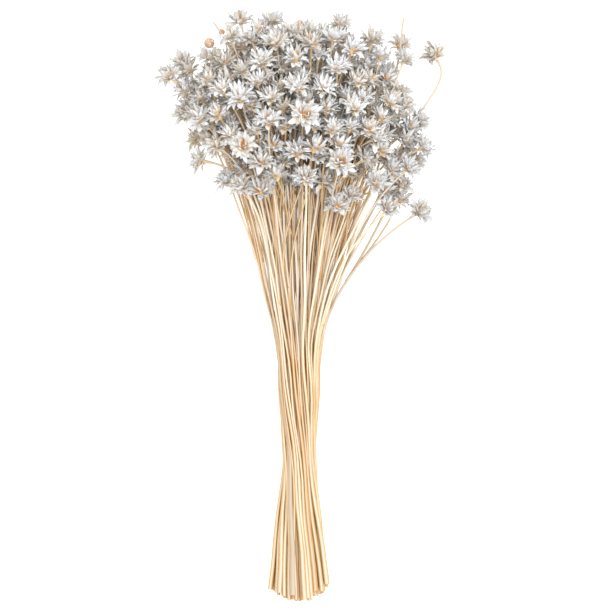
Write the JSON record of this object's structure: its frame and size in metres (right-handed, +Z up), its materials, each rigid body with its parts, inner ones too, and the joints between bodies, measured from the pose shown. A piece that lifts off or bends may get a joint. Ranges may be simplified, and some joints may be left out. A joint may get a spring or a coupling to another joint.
{
  "type": "bunch of dried hill flowers",
  "caption": "Loose bunch of dried flowers lying flat: straw-coloured stems with a twisted waist fan out to silvery, pointed papery heads.",
  "frame": {"origin": "middle of the bounding box in X and Y, on the table that the bunch lies on", "axes": "+Y along the bunch from the cut ends to the flower heads, +Z up off the table, +X to the right as seen from above with the heads ahead"},
  "size_m": [0.2462, 0.5008, 0.1263],
  "materials": {
    "silver_bracts": "dry, papery, matt with a faint silky sheen",
    "straw_stems": "dry straw, matt to slightly satin",
    "tan_buds": "dry, matt"
  },
  "bodies": {
    "root": {"bud_1": "tan_buds", "bud_2": "tan_buds", "bud_3": "tan_buds", "flower_heads_1": "silver_bracts", "flower_heads_2": "silver_bracts", "flower_heads_3": "silver_bracts", "flower_heads_4": "silver_bracts", "flower_heads_5": "silver_bracts", "flower_heads_6": "silver_bracts", "flower_heads_7": "silver_bracts", "flower_heads_8": "silver_bracts", "flower_heads_9": "silver_bracts", "flower_heads_10": "silver_bracts", "flower_heads_11": "silver_bracts", "flower_heads_12": "silver_bracts", "flower_heads_13": "silver_bracts", "flower_heads_14": "silver_bracts", "flower_heads_15": "silver_bracts", "flower_heads_16": "silver_bracts", "flower_heads_17": "silver_bracts", "flower_heads_18": "silver_bracts", "flower_heads_19": "silver_bracts", "flower_heads_20": "silver_bracts", "flower_heads_21": "silver_bracts", "flower_heads_22": "silver_bracts", "flower_heads_23": "silver_bracts", "flower_heads_24": "silver_bracts", "flower_heads_25": "silver_bracts", "flower_heads_26": "silver_bracts", "flower_heads_27": "silver_bracts", "flower_heads_28": "silver_bracts", "flower_heads_29": "silver_bracts", "flower_heads_30": "silver_bracts", "flower_heads_31": "silver_bracts", "flower_heads_32": "silver_bracts", "flower_heads_33": "silver_bracts", "flower_heads_34": "silver_bracts", "flower_heads_35": "silver_bracts", "flower_heads_36": "silver_bracts", "flower_heads_37": "silver_bracts", "flower_heads_38": "silver_bracts", "flower_heads_39": "silver_bracts", "flower_heads_40": "silver_bracts", "flower_heads_41": "silver_bracts", "flower_heads_42": "silver_bracts", "flower_heads_43": "silver_bracts", "flower_heads_44": "silver_bracts", "flower_heads_45": "silver_bracts", "flower_heads_46": "silver_bracts", "flower_heads_47": "silver_bracts", "flower_heads_48": "silver_bracts", "flower_heads_49": "silver_bracts", "flower_heads_50": "silver_bracts", "flower_heads_51": "silver_bracts", "flower_heads_52": "silver_bracts", "flower_heads_53": "silver_bracts", "flower_heads_54": "silver_bracts", "flower_heads_55": "silver_bracts", "flower_heads_56": "silver_bracts", "stems": "straw_stems"}
  },
  "joints": []
}
